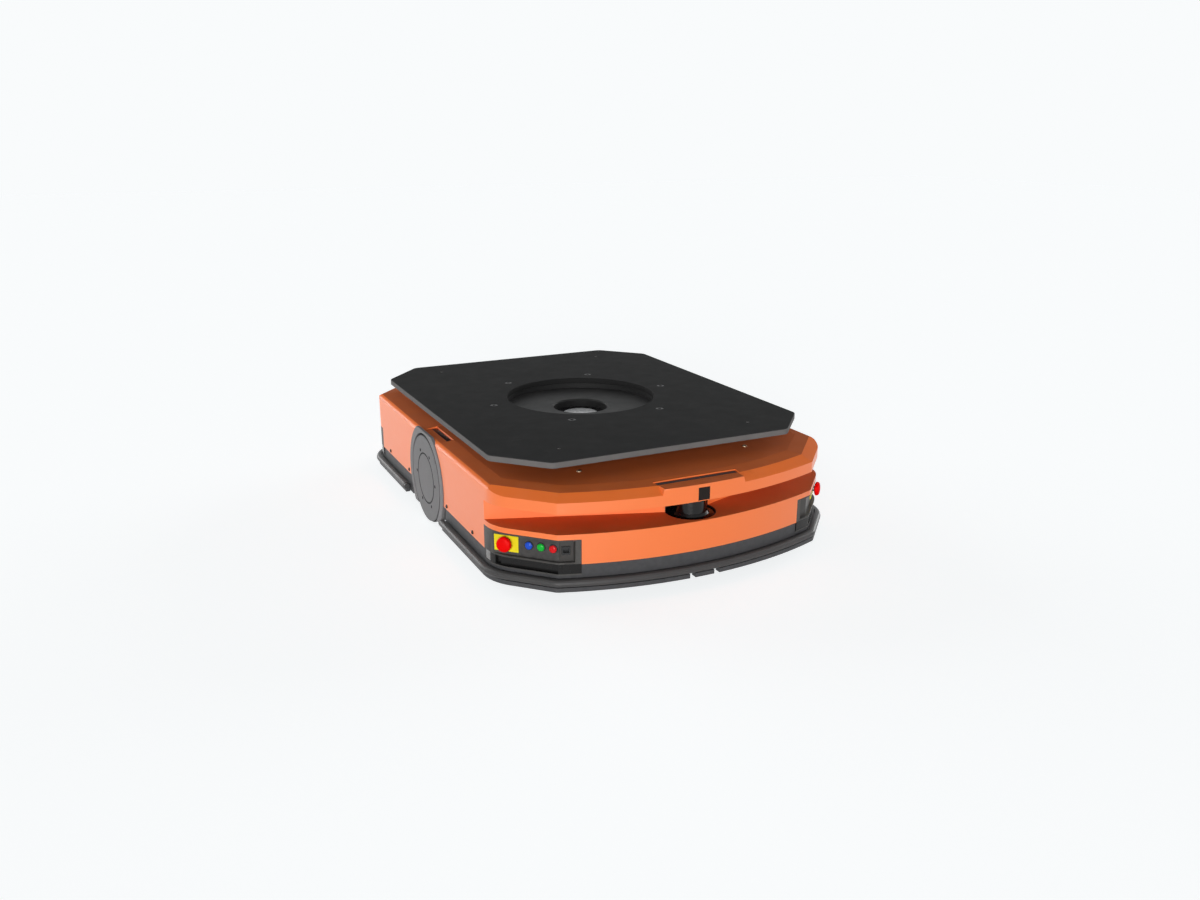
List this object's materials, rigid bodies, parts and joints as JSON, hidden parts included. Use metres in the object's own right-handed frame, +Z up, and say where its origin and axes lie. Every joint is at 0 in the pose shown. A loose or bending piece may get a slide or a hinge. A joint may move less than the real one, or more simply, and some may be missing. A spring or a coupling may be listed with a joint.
{
  "type": "autonomous mobile robot",
  "caption": "Low, wide under-ride transport robot: a lifting, turning load plate on an orange body with drive wheels amidships, swivel casters, lidar slot, rubber bumpers and corner consoles.",
  "frame": {"origin": "on the floor below the middle of the drive axle and of the body", "axes": "+Z up, nose with the lidar slot towards -Y, +X to the right of someone who faces the nose"},
  "size_m": [0.7906, 1.1546, 0.25],
  "materials": {
    "orange_paint": "moulded shell with a satin coat",
    "frame_paint": "fine texture powder coat",
    "plate_paint": "fine texture powder coat",
    "wheel_grey": "matt anodised",
    "fairing_grey": "satin powder coat",
    "bumper_rubber": "moulded",
    "tread_pu": "cast polyurethane",
    "console_plastic": "moulded texture",
    "panel_plastic": "fine texture",
    "yellow_plastic": "satin",
    "red_plastic": "moulded",
    "blue_plastic": "moulded",
    "green_plastic": "moulded",
    "black_plastic": "polished",
    "scan_window": "polished, passes infra-red",
    "lens_milk": "translucent diffuser",
    "window_white": "flush glass over a ring light",
    "steel": "ground",
    "gear_steel": "black oxide",
    "cast_alloy": "painted casting",
    "motor_black": "satin",
    "belt_rubber": "toothed belt",
    "battery_case": "painted sheet case, satin",
    "heat_sink": "extruded",
    "contact_copper": "bare"
  },
  "bodies": {
    "chassis": {"base_frame": "frame_paint", "front_cover": "orange_paint", "rear_cover": "orange_paint", "charge_contacts": "black_plastic", "front_bumper": "bumper_rubber", "rear_bumper": "bumper_rubber", "bumper_rails": "frame_paint", "contact_rails": "contact_copper", "bumper_end_plugs": "bumper_rubber", "left_fairing": "fairing_grey", "right_fairing": "fairing_grey", "left_drive_unit": "motor_black", "right_drive_unit": "motor_black", "front_left_console": "console_plastic", "front_right_console": "console_plastic", "rear_left_console": "console_plastic", "rear_right_console": "console_plastic", "corner_lamps": "lens_milk", "estop_plates": "yellow_plastic", "button_panel": "panel_plastic", "button_bezels": "black_plastic", "io_port": "black_plastic", "lidar_base": "black_plastic", "lidar_window": "scan_window", "battery_pack": "battery_case", "control_box": "heat_sink", "lift_base": "steel", "lift_motor": "motor_black", "lift_belt": "belt_rubber"},
    "left_drive_wheel": {"left_wheel": "wheel_grey", "left_tyre": "tread_pu"},
    "right_drive_wheel": {"right_wheel": "wheel_grey", "right_tyre": "tread_pu"},
    "lift_stage": {"lift_table": "cast_alloy", "camera_unit": "black_plastic", "camera_window": "window_white", "turntable_motor": "motor_black"},
    "turntable": {"load_plate": "plate_paint", "ring_gear": "gear_steel"},
    "turntable_pinion": {"pinion": "gear_steel"},
    "lift_drive_pulley": {"lift_pulley": "steel"},
    "scan_head": {"lidar_mirror": "steel"},
    "left_estop_plunger": {"left_estop_stem": "steel"},
    "right_estop_plunger": {"right_estop_stem": "steel"},
    "left_estop_mushroom": {"left_estop_head": "red_plastic"},
    "right_estop_mushroom": {"right_estop_head": "red_plastic"},
    "blue_push_button": {"blue_button": "blue_plastic"},
    "green_push_button": {"green_button": "green_plastic"},
    "red_push_button": {"red_button": "red_plastic"},
    "screw_1": {"lift_screw_1": "steel"},
    "screw_2": {"lift_screw_2": "steel"},
    "screw_3": {"lift_screw_3": "steel"},
    "front_left_swivel": {"front_left_caster_fork": "steel"},
    "front_left_roller": {"front_left_caster_wheel": "tread_pu"},
    "front_right_swivel": {"front_right_caster_fork": "steel"},
    "front_right_roller": {"front_right_caster_wheel": "tread_pu"},
    "rear_left_swivel": {"rear_left_caster_fork": "steel"},
    "rear_left_roller": {"rear_left_caster_wheel": "tread_pu"},
    "rear_right_swivel": {"rear_right_caster_fork": "steel"},
    "rear_right_roller": {"rear_right_caster_wheel": "tread_pu"}
  },
  "joints": [
    {"name": "left_wheel_spin", "type": "hinge", "parent": "chassis", "child": "left_drive_wheel", "pos_m": [-0.356, 0, 0.1], "axis": [1, 0, 0], "continuous": true},
    {"name": "right_wheel_spin", "type": "hinge", "parent": "chassis", "child": "right_drive_wheel", "pos_m": [0.356, 0, 0.1], "axis": [1, 0, 0], "continuous": true},
    {"name": "lift", "type": "slide", "parent": "chassis", "child": "lift_stage", "axis": [0, 0, 1], "range_m": [0, 0.06]},
    {"name": "turntable_turn", "type": "hinge", "parent": "lift_stage", "child": "turntable", "pos_m": [0, 0, 0.227], "axis": [0, 0, 1], "continuous": true},
    {"name": "pinion_turn", "type": "hinge", "parent": "lift_stage", "child": "turntable_pinion", "pos_m": [0, 0.275, 0.227], "axis": [0, 0, 1], "continuous": true},
    {"name": "screw_1_turn", "type": "hinge", "parent": "chassis", "child": "screw_1", "pos_m": [0, -0.14, 0.1], "axis": [0, 0, 1], "range_deg": [0, 1081]},
    {"name": "screw_2_turn", "type": "hinge", "parent": "chassis", "child": "screw_2", "pos_m": [0.12124, 0.07, 0.1], "axis": [0, 0, 1], "range_deg": [0, 1081]},
    {"name": "screw_3_turn", "type": "hinge", "parent": "chassis", "child": "screw_3", "pos_m": [-0.12124, 0.07, 0.1], "axis": [0, 0, 1], "range_deg": [0, 1081]},
    {"name": "lift_pulley_turn", "type": "hinge", "parent": "chassis", "child": "lift_drive_pulley", "pos_m": [0, 0.182, 0.06], "axis": [0, 0, 1], "range_deg": [0, 1081]},
    {"name": "scan_head_spin", "type": "hinge", "parent": "chassis", "child": "scan_head", "pos_m": [0, -0.505, 0.147], "axis": [0, 0, 1], "continuous": true},
    {"name": "left_estop_push", "type": "slide", "parent": "chassis", "child": "left_estop_plunger", "axis": [0.7214, 0.6925, 0], "range_m": [0, 0.004]},
    {"name": "left_estop_twist", "type": "hinge", "parent": "left_estop_plunger", "child": "left_estop_mushroom", "pos_m": [-0.36199, -0.43276, 0.0985], "axis": [-0.7214, -0.6925, 0], "range_deg": [0, 30], "stiffness_Nm_per_rad": 0.05},
    {"name": "right_estop_push", "type": "slide", "parent": "chassis", "child": "right_estop_plunger", "axis": [-0.7214, 0.6925, 0], "range_m": [0, 0.004]},
    {"name": "right_estop_twist", "type": "hinge", "parent": "right_estop_plunger", "child": "right_estop_mushroom", "pos_m": [0.36199, -0.43276, 0.0985], "axis": [0.7214, -0.6925, 0], "range_deg": [0, 30], "stiffness_Nm_per_rad": 0.05},
    {"name": "blue_button_press", "type": "slide", "parent": "chassis", "child": "blue_push_button", "axis": [0.7214, 0.6925, 0], "range_m": [0, 0.002], "stiffness_N_per_m": 400, "springref_m": -0.002},
    {"name": "green_button_press", "type": "slide", "parent": "chassis", "child": "green_push_button", "axis": [0.7214, 0.6925, 0], "range_m": [0, 0.002], "stiffness_N_per_m": 400, "springref_m": -0.002},
    {"name": "red_button_press", "type": "slide", "parent": "chassis", "child": "red_push_button", "axis": [0.7214, 0.6925, 0], "range_m": [0, 0.002], "stiffness_N_per_m": 400, "springref_m": -0.002},
    {"name": "front_left_caster_swivel", "type": "hinge", "parent": "chassis", "child": "front_left_swivel", "pos_m": [-0.265, -0.375, 0.088], "axis": [0, 0, 1], "continuous": true},
    {"name": "front_left_caster_roll", "type": "hinge", "parent": "front_left_swivel", "child": "front_left_roller", "pos_m": [-0.265, -0.347, 0.0375], "axis": [1, 0, 0], "continuous": true},
    {"name": "front_right_caster_swivel", "type": "hinge", "parent": "chassis", "child": "front_right_swivel", "pos_m": [0.265, -0.375, 0.088], "axis": [0, 0, 1], "continuous": true},
    {"name": "front_right_caster_roll", "type": "hinge", "parent": "front_right_swivel", "child": "front_right_roller", "pos_m": [0.265, -0.347, 0.0375], "axis": [1, 0, 0], "continuous": true},
    {"name": "rear_left_caster_swivel", "type": "hinge", "parent": "chassis", "child": "rear_left_swivel", "pos_m": [-0.265, 0.375, 0.088], "axis": [0, 0, 1], "continuous": true},
    {"name": "rear_left_caster_roll", "type": "hinge", "parent": "rear_left_swivel", "child": "rear_left_roller", "pos_m": [-0.265, 0.403, 0.0375], "axis": [1, 0, 0], "continuous": true},
    {"name": "rear_right_caster_swivel", "type": "hinge", "parent": "chassis", "child": "rear_right_swivel", "pos_m": [0.265, 0.375, 0.088], "axis": [0, 0, 1], "continuous": true},
    {"name": "rear_right_caster_roll", "type": "hinge", "parent": "rear_right_swivel", "child": "rear_right_roller", "pos_m": [0.265, 0.403, 0.0375], "axis": [1, 0, 0], "continuous": true}
  ],
  "couplings": [
    {"joint": "pinion_turn", "follows": "turntable_turn", "ratio": -5.1111},
    {"joint": "screw_1_turn", "follows": "lift", "rad_per_m": 314.16},
    {"joint": "screw_2_turn", "follows": "lift", "rad_per_m": 314.16},
    {"joint": "screw_3_turn", "follows": "lift", "rad_per_m": 314.16},
    {"joint": "lift_pulley_turn", "follows": "lift", "rad_per_m": 314.16}
  ]
}
